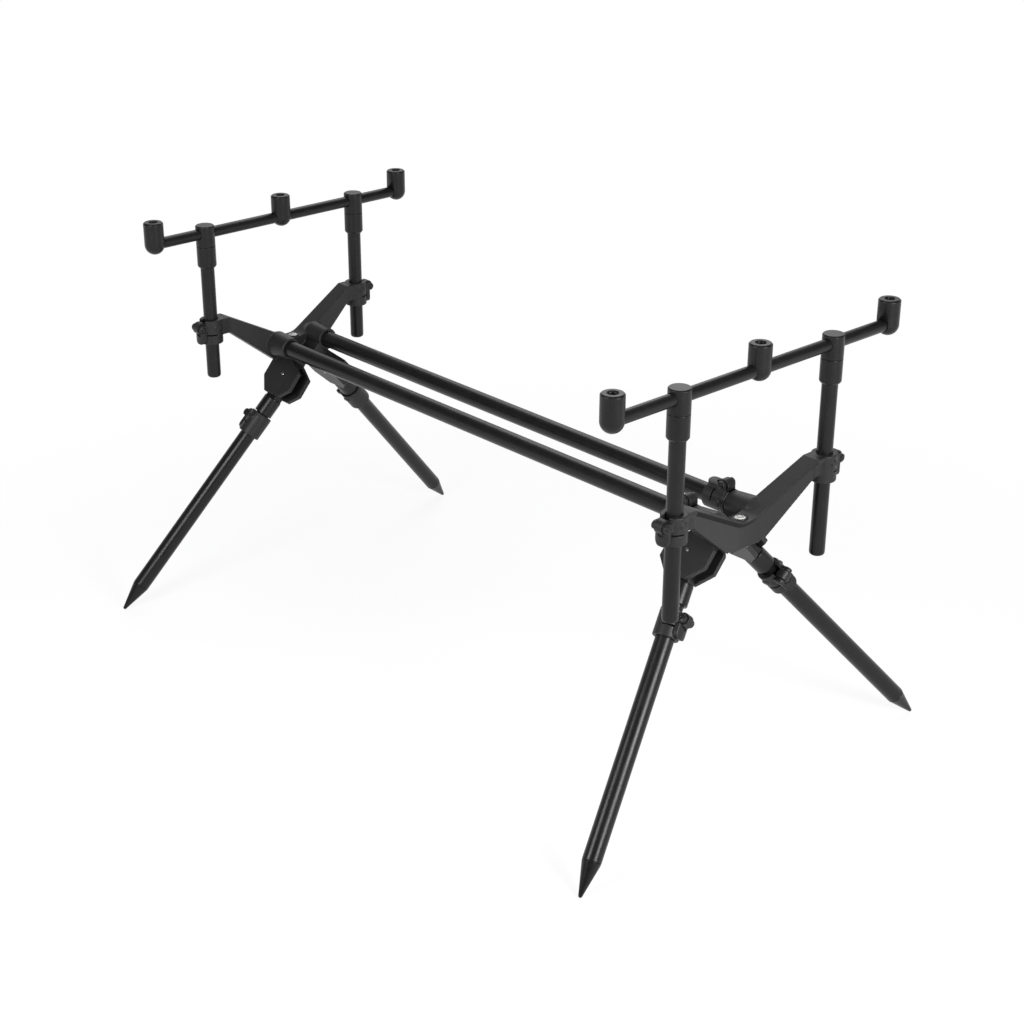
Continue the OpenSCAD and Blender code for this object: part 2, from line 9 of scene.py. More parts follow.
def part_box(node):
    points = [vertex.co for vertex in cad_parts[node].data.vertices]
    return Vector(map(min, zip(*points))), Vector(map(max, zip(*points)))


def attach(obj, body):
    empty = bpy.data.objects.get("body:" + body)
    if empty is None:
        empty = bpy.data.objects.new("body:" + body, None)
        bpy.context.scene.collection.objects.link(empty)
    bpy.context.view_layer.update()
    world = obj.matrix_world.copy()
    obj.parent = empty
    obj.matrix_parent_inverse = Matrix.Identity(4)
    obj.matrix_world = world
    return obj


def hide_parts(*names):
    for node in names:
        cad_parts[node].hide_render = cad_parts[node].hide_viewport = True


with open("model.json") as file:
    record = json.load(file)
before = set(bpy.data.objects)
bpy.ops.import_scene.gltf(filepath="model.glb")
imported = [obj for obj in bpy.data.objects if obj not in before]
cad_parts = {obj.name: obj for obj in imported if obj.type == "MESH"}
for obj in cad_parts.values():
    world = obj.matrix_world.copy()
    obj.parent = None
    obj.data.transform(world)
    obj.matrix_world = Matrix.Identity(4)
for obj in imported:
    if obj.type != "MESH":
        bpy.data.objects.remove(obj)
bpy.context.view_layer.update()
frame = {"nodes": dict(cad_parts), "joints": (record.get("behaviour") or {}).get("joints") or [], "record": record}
record = frame["record"]
joints = {joint["name"]: joint for joint in frame["joints"]}
bodyOf = {node: body for body, nodes in record["behaviour"]["bodies"].items() for node in nodes}
ends = ("far", "near")
sides = ("left", "right")
legs = [f"{end}_{side}" for end in ends for side in sides]
scene = bpy.context.scene
scene.view_settings.view_transform = "Standard"
print("frame loaded:", len(frame["nodes"]), "nodes")

# Camera, found from the photo's vanishing lines and the pod's own landmarks
photoCamera = {
    "imagePixels": 1024,
    "focalPixels": 1889.1,
    "sensorWidth": 36.0,
    "lookAt": (0.11987, -0.08798, 0.250),
    "distance": 1.9264,
    "azimuth": 47.30,
    "elevation": 24.53,
    "roll": 0.25,
    "clipStart": 0.05,
    "clipEnd": 60,
}


def makeCamera():
    azimuth, elevation, roll = (math.radians(photoCamera[key]) for key in ("azimuth", "elevation", "roll"))
    back = Vector((
        math.sin(azimuth) * math.cos(elevation),
        -math.cos(azimuth) * math.cos(elevation),
        math.sin(elevation),
    ))
    level = Vector((math.cos(azimuth), math.sin(azimuth), 0))
    upright = back.cross(level)
    right = level * math.cos(roll) + upright * math.sin(roll)
    up = upright * math.cos(roll) - level * math.sin(roll)
    lens = bpy.data.cameras.new("photoCamera")
    lens.sensor_width = photoCamera["sensorWidth"]
    lens.lens = photoCamera["focalPixels"] / photoCamera["imagePixels"] * photoCamera["sensorWidth"]
    lens.clip_start = photoCamera["clipStart"]
    lens.clip_end = photoCamera["clipEnd"]
    camera = bpy.data.objects.new("photoCamera", lens)
    turn = Matrix((right, up, back)).transposed().to_4x4()
    place = Vector(photoCamera["lookAt"]) + back * photoCamera["distance"]
    camera.matrix_world = Matrix.Translation(place) @ turn
    scene.collection.objects.link(camera)
    scene.camera = camera


makeCamera()
print("camera set")


# Shader building
class Wire:
    # a shader value; arithmetic on it adds Math nodes
    def __init__(self, shader, socket):
        self.shader = shader
        self.socket = socket

    def maths(self, operation, first, second):
        return self.shader.node("ShaderNodeMath", {"operation": operation}, {0: first, 1: second})

    def __add__(self, other):
        return self.maths("ADD", self, other)

    def __radd__(self, other):
        return self.maths("ADD", other, self)

    def __sub__(self, other):
        return self.maths("SUBTRACT", self, other)

    def __rsub__(self, other):
        return self.maths("SUBTRACT", other, self)

    def __mul__(self, other):
        return self.maths("MULTIPLY", self, other)

    def __rmul__(self, other):
        return self.maths("MULTIPLY", other, self)


class Shader:
    def __init__(self, tree):
        self.tree = tree
        self.tree.nodes.clear()

    # one node: its settings first, then the values or links of its sockets
    def node(self, kind, settings=None, sockets=None, output=0):
        made = self.tree.nodes.new(kind)
        for key, value in (settings or {}).items():
            if key == "stops":
                self.setStops(made.color_ramp, value)
            else:
                setattr(made, key, value)
        for key, value in (sockets or {}).items():
            if isinstance(value, Wire):
                self.tree.links.new(value.socket, made.inputs[key])
            else:
                made.inputs[key].default_value = value
        return Wire(self, made.outputs[output]) if made.outputs else None

    def setStops(self, ramp, stops):
        while len(ramp.elements) < len(stops):
            ramp.elements.new(1)
        for element, (position, level) in zip(ramp.elements, stops):
            element.position = position
            element.color = (level, level, level, 1)

    def objectPoint(self):
        return self.node("ShaderNodeTexCoord", output=3)

    def vector(self, operation, first, second, output=0):
        return self.node("ShaderNodeVectorMath", {"operation": operation}, {0: first, 1: second}, output)

    def noise(self, point, scale, detail=2.0, roughness=0.5):
        return self.node("ShaderNodeTexNoise", {}, {
            "Vector": point, "Scale": scale, "Detail": detail, "Roughness": roughness,
        })

    def ramp(self, value, stops):
        return self.node("ShaderNodeValToRGB", {"stops": stops}, {0: value})

    def blendColor(self, mask, first, second):
        return self.node("ShaderNodeMix", {"data_type": "RGBA"}, {0: mask, 6: first, 7: second}, 2)

    def bump(self, height, strength, distance):
        return self.node("ShaderNodeBump", {}, {
            "Strength": strength, "Distance": distance, "Height": height,
        })

    def surface(self, sockets):
        glossy = self.node("ShaderNodeBsdfPrincipled", {}, sockets)
        self.node("ShaderNodeOutputMaterial", {}, {"Surface": glossy})


def newMaterial(name):
    material = bpy.data.materials.new(name)
    material.use_nodes = True
    return material, Shader(material.node_tree)


coolTint = 1.02


def grey(level):
    return (level, level, level * coolTint, 1)


# a level varied by signals that lie around one half
def varied(level, *signals):
    for signal, amount in signals:
        level = level + (signal - 0.5) * amount
    return level


# axes along the same line share a finish
def axisKey(axis):
    return (*(round(abs(step), 3) for step in axis), round(axis[0] * axis[1], 3))


# Finishes
anodisedLook = {
    "dark": 0.004,
    "pale": 0.010,
    "roughness": 0.33,
    "mottleScale": 55,
    "smudgeScale": 11,
    "rubScale": 600,
    "rubStops": [(0.64, 0), (0.78, 1)],
    "drawnScale": 2400,
    "drawnStretch": 0.015,
    "drawnDepth": 0.00004,
    "drawnBump": 0.2,
    "specular": 0.26,
    "color": {"mottle": 0.7, "rub": 0.6},
    "rough": {"mottle": 0.14, "smudge": 0.16, "lines": 0.08},
}
mouldedLook = {
    "dark": 0.010,
    "pale": 0.018,
    "roughness": 0.45,
    "grainScale": 2100,
    "pitScale": 600,
    "grainDepth": 0.00009,
    "cloudScale": 38,
    "edgePale": 0.05,
    "specular": 0.25,
}
leverLook = {
    "dark": 0.007,
    "pale": 0.013,
    "roughness": 0.42,
    "grainScale": 2800,
    "pitScale": 800,
    "grainDepth": 0.00005,
    "cloudScale": 90,
    "edgePale": 0.045,
    "specular": 0.28,
}
mouldedMix = {
    "rubStops": [(0.535, 0), (0.66, 1)],
    "rubSpread": 0.10,
    # the darkness below and the last colour and roughness entries paint shade on the drawn-in front under the
    # flange
    "paintedShadeDepth": 0.25,
    "color": {"cloud": 0.8, "grain": 0.3, "rub": 0.6, "paintedShadeBand": 0.8},
    "rough": {"cloud": 0.16, "grain": 0.12, "rub": 0.08, "paintedShadeBand": 0.4},
    "bump": {"grain": 0.7, "pits": 0.5, "strength": 0.32},
}
steelLook = {
    "dark": 0.50,
    "pale": 0.72,
    "roughness": 0.28,
    "ringScale": 9000,
    "ringBump": 0.15,
    "ringDepth": 0.00002,
    "stainScale": 700,
    "rough": {"stain": 0.2, "rings": 0.1},
}
vialLook = {
    "rim": {"pale": (0.60, 0.61, 0.59, 1), "shade": (0.50, 0.51, 0.49, 1)},
    "lens": {"pale": (0.40, 0.41, 0.39, 1), "shade": (0.32, 0.33, 0.31, 1)},
    "roughness": 0.16,
    "cloudScale": 420,
    "cloudRough": 0.08,
    "coat": 0.6,
    "coatRoughness": 0.05,
}
finishes = {}


# black anodised aluminium, drawn or turned: fine lines lie along the axis or around it
def anodised(axis, around=False):
    key = ("anodised", around, *axisKey(axis))
    if key in finishes:
        return finishes[key]
    look = anodisedLook
    name = ("turned" if around else "drawn") + "Anodised" + str(len(finishes))
    material, shader = newMaterial(name)
    point = shader.objectPoint()
    along = shader.vector("DOT_PRODUCT", point, tuple(axis), 1)
    lengthwise = shader.node("ShaderNodeVectorMath", {"operation": "SCALE"}, {
        0: tuple(axis), "Scale": along,
    })
    across = shader.vector("SUBTRACT", point, lengthwise)
    flat, full = (across, lengthwise) if around else (lengthwise, across)
    stretched = shader.node("ShaderNodeVectorMath", {"operation": "MULTIPLY_ADD"}, {
        0: flat, 1: (look["drawnStretch"],) * 3, 2: full,
    })
    lines = shader.noise(stretched, look["drawnScale"], 3, 0.6)
    mottle = shader.noise(point, look["mottleScale"], 5, 0.6)
    smudge = shader.noise(point, look["smudgeScale"], 3)
    rub = shader.ramp(shader.noise(stretched, look["rubScale"], 2), look["rubStops"])
    color, rough = look["color"], look["rough"]
    shader.surface({
        "Base Color": shader.blendColor(
            mottle * color["mottle"] + rub * smudge * color["rub"], grey(look["dark"]), grey(look["pale"])),
        "Roughness": varied(
            look["roughness"], (mottle, rough["mottle"]), (smudge, rough["smudge"]), (lines, rough["lines"])),
        "Specular IOR Level": look["specular"],
        "Normal": shader.bump(lines, look["drawnBump"], look["drawnDepth"]),
    })
    finishes[key] = material
    return material


# moulded nylon with a spark-eroded grain, paler where edges have rubbed, with painted shade (darker and rougher)
# on the marked drawn-in front under the yoke arms' flange
def moulded(name, look):
    if name in finishes:
        return finishes[name]
    material, shader = newMaterial(name)
    point = shader.objectPoint()
    grain = shader.noise(point, look["grainScale"], 3, 0.6)
    pits = shader.noise(point, look["pitScale"], 2)
    cloud = shader.noise(point, look["cloudScale"], 5, 0.6)
    mix = mouldedMix
    color, rough, bump = mix["color"], mix["rough"], mix["bump"]
    pointiness = shader.node("ShaderNodeNewGeometry", output=7)
    rubbed = shader.ramp(varied(pointiness, (cloud, mix["rubSpread"])), mix["rubStops"])
    plain = shader.blendColor(
        cloud * color["cloud"] + grain * color["grain"], grey(look["dark"]), grey(look["pale"]))
    worn = shader.blendColor(rubbed * color["rub"], plain, grey(look["edgePale"]))
    # painted shade: the marked front under the flange is darkened and made rougher
    paintedShadeBand = shader.node("ShaderNodeAttribute", {"attribute_name": "underRim"}, output=2)
    uneven = varied(look["roughness"], (cloud, rough["cloud"]), (grain, rough["grain"]))
    shader.surface({
        "Base Color": shader.blendColor(paintedShadeBand * color["paintedShadeBand"], worn, grey(look["dark"] * mix["paintedShadeDepth"])),
        "Roughness": uneven - rubbed * rough["rub"] + paintedShadeBand * rough["paintedShadeBand"],
        "Specular IOR Level": look["specular"],
        "Normal": shader.bump(
            grain * bump["grain"] + pits * bump["pits"], bump["strength"], look["grainDepth"]),
    })
    finishes[name] = material
    return material


# bright steel with turning rings about the pin's axis
def steel(axis):
    key = ("steel", *axisKey(axis))
    if key in finishes:
        return finishes[key]
    look = steelLook
    material, shader = newMaterial("pinSteel" + str(len(finishes)))
    point = shader.objectPoint()
    along = shader.vector("DOT_PRODUCT", point, tuple(axis), 1)
    rings = shader.node("ShaderNodeTexNoise", {"noise_dimensions": "1D"}, {
        "W": along, "Scale": look["ringScale"], "Detail": 2.0,
    })
    stain = shader.noise(point, look["stainScale"], 4)
    rough = look["rough"]
    shader.surface({
        "Base Color": shader.blendColor(stain, grey(look["dark"]), grey(look["pale"])),
        "Metallic": 1.0,
        "Roughness": varied(look["roughness"], (stain, rough["stain"]), (rings, rough["rings"])),
        "Normal": shader.bump(rings, look["ringBump"], look["ringDepth"]),
    })
    finishes[key] = material
    return material


# clear acrylic, paler at the rim than in the lens
def vialFinish(part):
    if part in finishes:
        return finishes[part]
    look = vialLook
    material, shader = newMaterial(part + "Acrylic")
    cloud = shader.noise(shader.objectPoint(), look["cloudScale"], 3)
    shader.surface({
        "Base Color": shader.blendColor(cloud, look[part]["pale"], look[part]["shade"]),
        "Roughness": varied(look["roughness"], (cloud, look["cloudRough"])),
        "Coat Weight": look["coat"],
        "Coat Roughness": look["coatRoughness"],
    })
    finishes[part] = material
    return material


# Reading the frame
def pointOf(joint):
    return Vector(joints[joint]["pos_m"])


def axisOf(joint):
    return Vector(joints[joint]["axis"]).normalized()


def middle(node):
    low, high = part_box(node)
    return (low + high) / 2


# lowest and highest distance of a node along an axis, and its largest distance from it
def spanOf(node, origin, axis):
    away, along = 0.0, []
    for vertex in frame["nodes"][node].data.vertices:
        offset = vertex.co - origin
        along.append(offset.dot(axis))
        away = max(away, (offset - axis * along[-1]).length)
    return min(along), max(along), away


# Mesh building
tiny = 1e-6
sharpAngle = math.radians(40)


def frameAlong(origin, axis):
    return Matrix.Translation(origin) @ axis.to_track_quat("Z", "Y").to_matrix().to_4x4()


# outline through corners (radius, height, fillet), each fillet drawn as a short curve
def rounded(corners, loop=False, steps=4):
    outline = []
    for index, (radius, height, fillet) in enumerate(corners):
        corner = Vector((radius, height))
        inner = loop or 0 < index < len(corners) - 1
        if not inner or fillet <= 0:
            outline.append((radius, height))
            continue
        before = Vector(corners[index - 1][:2]) - corner
        after = Vector(corners[(index + 1) % len(corners)][:2]) - corner
        half = before.angle(after) / 2
        reach = min(fillet / math.tan(half), 0.48 * before.length, 0.48 * after.length)
        start = corner + before.normalized() * reach
        stop = corner + after.normalized() * reach
        for step in range(steps + 1):
            part = step / steps
            spot = start * (1 - part) ** 2 + corner * 2 * part * (1 - part) + stop * part ** 2
            outline.append((spot.x, spot.y))
    return outline


# solid of revolution about a matrix's Z; radiusAt can change a radius by height and angle
def turned(made, outline, matrix, loop=False, segments=72, radiusAt=None):
    rings = []
    for radius, height in outline:
        if radius < tiny:
            rings.append([made.verts.new(matrix @ Vector((0, 0, height)))])
            continue
        ring = []
        for step in range(segments):
            angle = 2 * math.pi * step / segments
            reach = radiusAt(radius, height, angle) if radiusAt else radius
            spot = Vector((reach * math.cos(angle), reach * math.sin(angle), height))
            ring.append(made.verts.new(matrix @ spot))
        rings.append(ring)
    follow = rings[1:] + rings[:1] if loop else rings[1:]
    for low, high in zip(rings, follow):
        for step in range(segments):
            after = step + 1
            corners = list(dict.fromkeys([
                low[step % len(low)], low[after % len(low)],
                high[after % len(high)], high[step % len(high)],
            ]))
            if len(corners) > 2:
                made.faces.new(corners)
    return made


def link(name, data):
    piece = bpy.data.objects.new(name, data)
    scene.collection.objects.link(piece)
    return piece


# a piece's mesh with its modifiers worked in
def settle(piece):
    bpy.context.view_layer.update()
    done = bpy.data.meshes.new_from_object(piece.evaluated_get(bpy.context.evaluated_depsgraph_get()))
    piece.modifiers.clear()
    piece.data = done


# smooth shading that keeps the sharp edges
def evenNormals(piece):
    piece.data.shade_smooth()
    piece.data.set_sharp_from_angle(angle=sharpAngle)
    piece.modifiers.new("evenNormals", "WEIGHTED_NORMAL").keep_sharp = True


def dress(piece, body, material, nodes):
    piece.data.materials.clear()
    piece.data.materials.append(material)
    evenNormals(piece)
    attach(piece, body)
    if nodes:
        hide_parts(*nodes)
    return piece


def linkMesh(name, made):
    bmesh.ops.recalc_face_normals(made, faces=made.faces)
    data = bpy.data.meshes.new(name)
    made.to_mesh(data)
    made.free()
    return link(name, data)


def finishMesh(name, made, node, material, stands=True):
    return dress(linkMesh(name, made), bodyOf[node], material, [node] if stands else [])


# a cutter's mesh taken out of a piece
def cut(piece, made):
    cutter = linkMesh("cutter", made)
    carve = piece.modifiers.new("carve", "BOOLEAN")
    carve.operation = "DIFFERENCE"
    carve.solver = "EXACT"
    carve.object = cutter
    settle(piece)
    bpy.data.objects.remove(cutter)
    evenNormals(piece)


# Moulded pieces: the CAD shape remeshed finely, its edges rounded as in a mould
mouldQuality = {
    "yoke": {"voxel": 0.00045, "smooth": 9, "keep": 0.18},
    "clamp": {"voxel": 0.00038, "smooth": 5, "keep": 0.26},
    "lever": {"voxel": 0.00030, "smooth": 5, "keep": 0.34},
}
softenFactors = (0.6, -0.4)

# the flange along an arm's top edge: its section, and the lines its arm follows in plan and in height
rimShape = {
    "overhang": 0.0034, "crest": 0.0008, "drop": 0.0050, "reach": 1.2,
    "ledge": 0.10, "stop": 0.0880, "fade": 0.003,
    "planFront": -0.0010, "planRadius": 0.120, "planBend": 7.47,
    "valleyRise": 0.0028, "valleyRadius": 0.032, "slope": 27.68,
}


# height of an arc at a distance from its middle, going on straight past its bend
def archRise(distance, radius, bend):
    bend = math.radians(bend)
    turn = radius * math.sin(bend)
    if distance < turn:
        return radius - math.sqrt(radius ** 2 - distance ** 2)
    return radius * (1 - math.cos(bend)) + (distance - turn) * math.tan(bend)


# where a point lies at the flange: how far past the sunk face,
# and how far below the top edge, from 0 at the crest to 1 at the foot
def rimPlace(spot, rowX, barZ):
    shape = rimShape
    side = abs(spot.y)
    way = 1 if rowX > 0 else -1
    face = shape["planFront"] + archRise(side, shape["planRadius"], shape["planBend"]) - shape["overhang"]
    over = (spot.x - rowX) * way - face
    top = barZ + shape["valleyRise"] + archRise(side, shape["valleyRadius"], shape["slope"])
    down = (top - spot.z - shape["crest"]) / (shape["drop"] - shape["crest"])
    inside = over > 0 and side < shape["stop"] and 0 < down < shape["reach"]
    return inside, way * over, min(1, down), min(1, (shape["stop"] - side) / shape["fade"])


# the flange's front drawn in towards its foot, so that it looks down
def undercutRim(data, rowX, barZ):
    for vertex in data.vertices:
        inside, over, down, fade = rimPlace(vertex.co, rowX, barZ)
        if inside:
            vertex.co.x -= over * down * fade * (1 - rimShape["ledge"])


# marks the drawn-in front, where the finish paints shade and raises the roughness
def markRim(data, rowX, barZ):
    marks = data.attributes.new("underRim", "FLOAT", "POINT")
    for vertex in data.vertices:
        inside, _, _, fade = rimPlace(vertex.co, rowX, barZ)
        marks.data[vertex.index].value = fade if inside else 0


def mouldFrom(node, quality, material):
    data = frame["nodes"][node].data.copy()
    welded = bmesh.new()
    welded.from_mesh(data)
    bmesh.ops.remove_doubles(welded, verts=welded.verts, dist=tiny)
    welded.to_mesh(data)
    welded.free()
    piece = link("moulded_" + node, data)
    cells = piece.modifiers.new("cells", "REMESH")
    cells.mode = "VOXEL"
    cells.voxel_size = quality["voxel"]
    for factor in softenFactors * quality["smooth"]:
        soften = piece.modifiers.new("soften", "SMOOTH")
        soften.factor = factor
        soften.iterations = 1
    settle(piece)
    yokePlace = None
    if node.endswith("_yoke"):
        yokePlace = middle(node.replace("_yoke", "_posts")).x, middle("main_tube_left").z
        undercutRim(piece.data, *yokePlace)
    thin = piece.modifiers.new("thin", "DECIMATE")
    thin.ratio = quality["keep"]
    settle(piece)
    if yokePlace:
        # the mark of the drawn-in front, where the finish paints shade
        markRim(piece.data, *yokePlace)
    return dress(piece, bodyOf[node], material, [node])


for node in sorted(frame["nodes"]):
    if node.endswith("_yoke"):
        mouldFrom(node, mouldQuality["yoke"], moulded("mouldedNylon", mouldedLook))
    elif "_clamp" in node:
        mouldFrom(node, mouldQuality["clamp"], moulded("mouldedNylon", mouldedLook))
    elif "_lever_" in node and "pins" not in node:
        mouldFrom(node, mouldQuality["lever"], moulded("leverNylon", leverLook))
print("moulded pieces done")

# Tubes
tubeShape = {"wall": 0.0012, "fillet": 0.0004, "segments": 80}


def makeTube(name, node, origin, axis):
    low, high, radius = spanOf(node, origin, axis)
    bore = radius - tubeShape["wall"]
    fillet = tubeShape["fillet"]
    outline = rounded([
        (bore, low, fillet), (radius, low, fillet), (radius, high, fillet), (bore, high, fillet),
    ], loop=True, steps=3)
    made = turned(bmesh.new(), outline, frameAlong(origin, axis), loop=True, segments=tubeShape["segments"])
    finishMesh(name, made, node, anodised(axis))


for side in sides:
    makeTube("bar_" + side, "main_tube_" + side, middle("main_tube_" + side), Vector((1, 0, 0)))
    makeTube("bar_inner_" + side, "inner_tube_" + side, middle("inner_tube_" + side), Vector((1, 0, 0)))
for end in ends:
    makeTube(f"{end}_bar_across", f"{end}_cross_bar", middle(f"{end}_cross_bar"), Vector((0, 1, 0)))
for leg in legs:
    hinge, along = pointOf("leg_fold_" + leg), axisOf("leg_slide_" + leg)
    makeTube("lower_tube_" + leg, "leg_tube_" + leg, hinge, along)
    makeTube("upper_tube_" + leg, "leg_inner_" + leg, hinge, along)
print("tubes done")

# Leg hinge blocks and spikes
hingeShape = {
    "neckRadius": 0.011, "neckShort": 0.0078, "topFillet": 0.00144, "lowFillet": 0.0009,
    "seatRadius": 0.008, "mouthFillet": 0.00045, "seatFillet": 0.0002,
    "tongueWidth": 0.018, "tongueThick": 0.012, "tongueSink": 0.002, "tongueBevel": 0.0008,
    "arcSteps": 24, "bevelSteps": 3,
}
spikeShape = {"spigot": 0.010, "spigotRadius": 0.00825, "nose": 0.0020, "fillet": 0.0005, "relief": 0.0006}


def makeHinge(leg):
    shape = hingeShape
    node = "leg_hinge_" + leg
    hinge, along = pointOf("leg_fold_" + leg), axisOf("leg_slide_" + leg)
    pin = axisOf("leg_fold_" + leg)
    high = spanOf(node, hinge, along)[1]
    tubeTop = spanOf("leg_inner_" + leg, hinge, along)[0]
    # the solid part above the tube's seat is shorter than the seat
    neckTop = 2 * tubeTop - high + shape["neckShort"]
    radius, seat = shape["neckRadius"], shape["seatRadius"]
    outline = rounded([
        (0, neckTop, 0), (radius, neckTop, shape["topFillet"]), (radius, high, shape["lowFillet"]),
        (seat, high, shape["mouthFillet"]), (seat, tubeTop, shape["seatFillet"]), (0, tubeTop, 0),
    ])
    made = turned(bmesh.new(), outline, frameAlong(hinge, along))
    finishMesh("neck_" + leg, made, node, anodised(along, True))
    half, thick = shape["tongueWidth"] / 2, shape["tongueThick"] / 2
    wide = pin.cross(along)
    foot = along * (neckTop + shape["tongueSink"])
    made = bmesh.new()
    arc = [math.pi * step / shape["arcSteps"] for step in range(shape["arcSteps"] + 1)]
    rim = [wide * half * math.cos(angle) - along * half * math.sin(angle) for angle in arc]
    rim += [foot - wide * half, foot + wide * half]
    near = [made.verts.new(hinge + spot + pin * thick) for spot in rim]
    away = [made.verts.new(hinge + spot - pin * thick) for spot in rim]
    made.faces.new(near)
    made.faces.new(away[::-1])
    for index in range(len(rim)):
        after = (index + 1) % len(rim)
        made.faces.new((near[index], away[index], away[after], near[after]))
    piece = finishMesh("tongue_" + leg, made, node, anodised(along, True), False)
    soft = piece.modifiers.new("soft", "BEVEL")
    soft.width = shape["tongueBevel"]
    soft.segments = shape["bevelSteps"]
    piece.modifiers.move(1, 0)


def makeSpike(leg):
    node = "leg_spike_" + leg
    hinge, along = pointOf("leg_fold_" + leg), axisOf("leg_slide_" + leg)
    low, high, radius = spanOf(node, hinge, along)
    shape = spikeShape
    start = low + shape["spigot"]
    nose = shape["nose"]
    bend = [(nose * math.cos(turn), high - nose + nose * math.sin(turn), 0)
            for turn in (math.radians(step) for step in range(10, 90, 10))]
    outline = rounded([
        (0, low, 0), (shape["spigotRadius"], low, shape["fillet"]), (shape["spigotRadius"], start, 0),
        (radius - shape["relief"], start, shape["fillet"] / 2),
        (radius, start + shape["relief"], shape["fillet"]), *bend, (0, high, 0),
    ])
    made = turned(bmesh.new(), outline, frameAlong(hinge, along))
    finishMesh("spike_" + leg, made, node, anodised(along, True))


for leg in legs:
    makeHinge(leg)
    makeSpike(leg)
print("hinges and spikes done")

# Rest bars: sockets with cut threads, post heads, sleeves and posts
socketShape = {
    "radius": 0.01125, "topFillet": 0.0011, "topChamfer": 0.0014, "drop": 0.026, "sink": 0.0009,
    "holeRadius": 0.00475, "holeDepth": 0.018, "mouthFlare": 1.1, "mouthFillet": 0.0002,
}
threadShape = {
    "pitch": 0.00127, "depth": 0.0007, "rowsPerPitch": 7,
    "wallBand": 0.00005, "lowRun": 0.0004, "topRun": 0.0002,
}
headShape = {"radius": 0.011, "topChamfer": 0.0011, "fillet": 0.0006, "seam": 0.00045}
sleeveShape = {
    "lowChamfer": 0.0020, "lowInset": 0.0014, "fillet": 0.0006, "shoulderFillet": 0.0012, "gap": 0.00005,
}
postShape = {"radius": 0.008, "lowFillet": 0.0045}
barGap = 0.0003
barHoleSegments = 64
upward = Vector((0, 0, 1))
acrossBars = Vector((0, 1, 0))


# the wall of a socket's hole drawn in along a helix, other radii as they are
def threadRadius(radius, height, angle):
    shape = threadShape
    top, low = -socketShape["sink"], -socketShape["holeDepth"]
    onWall = abs(radius - socketShape["holeRadius"]) < shape["wallBand"]
    if not onWall or not low + shape["lowRun"] < height < top - shape["topRun"]:
        return radius
    turnPart = (height / shape["pitch"] + angle / (2 * math.pi)) % 1
    fade = min(1, (top - height) / shape["pitch"])
    return radius - shape["depth"] * fade * (1 - abs(2 * turnPart - 1))


def socketOutline():
    shape = socketShape
    radius, drop = shape["radius"], shape["drop"]
    hole, depth, sink = shape["holeRadius"], shape["holeDepth"], shape["sink"]
    corners = [(0, -depth, 0), (hole, -depth, 0)]
    rows = int((depth - sink) / threadShape["pitch"] * threadShape["rowsPerPitch"])
    corners += [(hole, -depth + row / rows * (depth - sink), 0) for row in range(1, rows)]
    corners += [
        (hole, -sink, 0),
        (hole + shape["mouthFlare"] * sink, 0, shape["mouthFillet"]),
        (radius - shape["topChamfer"], 0, shape["topFillet"]),
        (radius, -shape["topChamfer"], shape["topFillet"]),
    ]
    corners += [(radius * math.cos(turn), -drop - radius * math.sin(turn), 0)
                for turn in (math.radians(step) for step in range(0, 90, 6))]
    corners.append((0, -drop - radius, 0))
    return rounded(corners)


# cutter for the cross bar's hole between two places along the bar
def barHole(end, low, high):
    centre = middle(f"{end}_cross_bar")
    radius = spanOf(f"{end}_cross_bar", centre, acrossBars)[2] + barGap
    matrix = frameAlong(Vector((centre.x, 0, centre.z)), acrossBars)
    outline = [(0, low), (radius, low), (radius, high), (0, high)]
    return turned(bmesh.new(), outline, matrix, segments=barHoleSegments)


def makeSockets(end):
    node = f"{end}_rest_sockets"
    barLow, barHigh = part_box(f"{end}_cross_bar")
    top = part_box(node)[1].z
    reach = socketShape["radius"] * 2
    mounts = [mount for mount in record["mounts"] if mount["name"].startswith(end)]
    for mount in mounts:
        spot = Vector(mount["pos_m"])
        spot.z = top
        made = turned(bmesh.new(), socketOutline(), frameAlong(spot, upward), radiusAt=threadRadius)
        piece = finishMesh(mount["name"].replace("thread", "socket"), made, node, anodised(upward, True))
        cut(piece, barHole(end, max(spot.y - reach, barLow.y), min(spot.y + reach, barHigh.y)))


